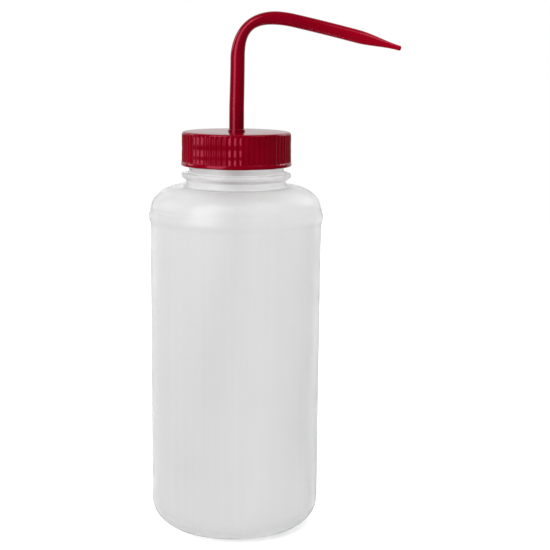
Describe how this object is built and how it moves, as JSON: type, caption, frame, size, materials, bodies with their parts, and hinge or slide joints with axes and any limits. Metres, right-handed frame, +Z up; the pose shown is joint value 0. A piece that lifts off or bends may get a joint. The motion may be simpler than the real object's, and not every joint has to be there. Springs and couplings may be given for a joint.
{
  "type": "wash bottle",
  "caption": "Translucent squeeze wash bottle with a ribbed red screw cap and a bent red delivery tube that swivels in it, fed by a dip tube.",
  "frame": {"origin": "on the bottle's axis, in the plane that its base stands on", "axes": "+Z up along the bottle's axis, +X the way the jet points at rest, +Y to the back"},
  "size_m": [0.1326, 0.0928, 0.2758],
  "materials": {
    "natural_polyethylene": "milky translucent, satin, blow moulded",
    "red_polypropylene": "moulded gloss, deep red",
    "white_polyethylene": "white, satin moulded",
    "natural_tube": "translucent, smooth extruded"
  },
  "bodies": {
    "bottle": {"bottle": "natural_polyethylene"},
    "insert": {"sealing_insert": "white_polyethylene"},
    "cap": {"screw_cap": "red_polypropylene"},
    "delivery": {"delivery_tube": "red_polypropylene", "dip_tube": "natural_tube"}
  },
  "joints": [
    {"name": "cap_rise", "type": "slide", "parent": "bottle", "child": "insert", "axis": [0, 0, 1], "range_m": [0, 0.00636]},
    {"name": "cap_turn", "type": "hinge", "parent": "insert", "child": "cap", "pos_m": [0, 0, 0.204], "axis": [0, 0, 1], "range_deg": [0, 540]},
    {"name": "tube_swivel", "type": "hinge", "parent": "insert", "child": "delivery", "pos_m": [0, 0, 0.204], "axis": [0, 0, 1], "continuous": true}
  ],
  "couplings": [
    {"joint": "cap_rise", "follows": "cap_turn", "m_per_rad": 0.00067376}
  ]
}
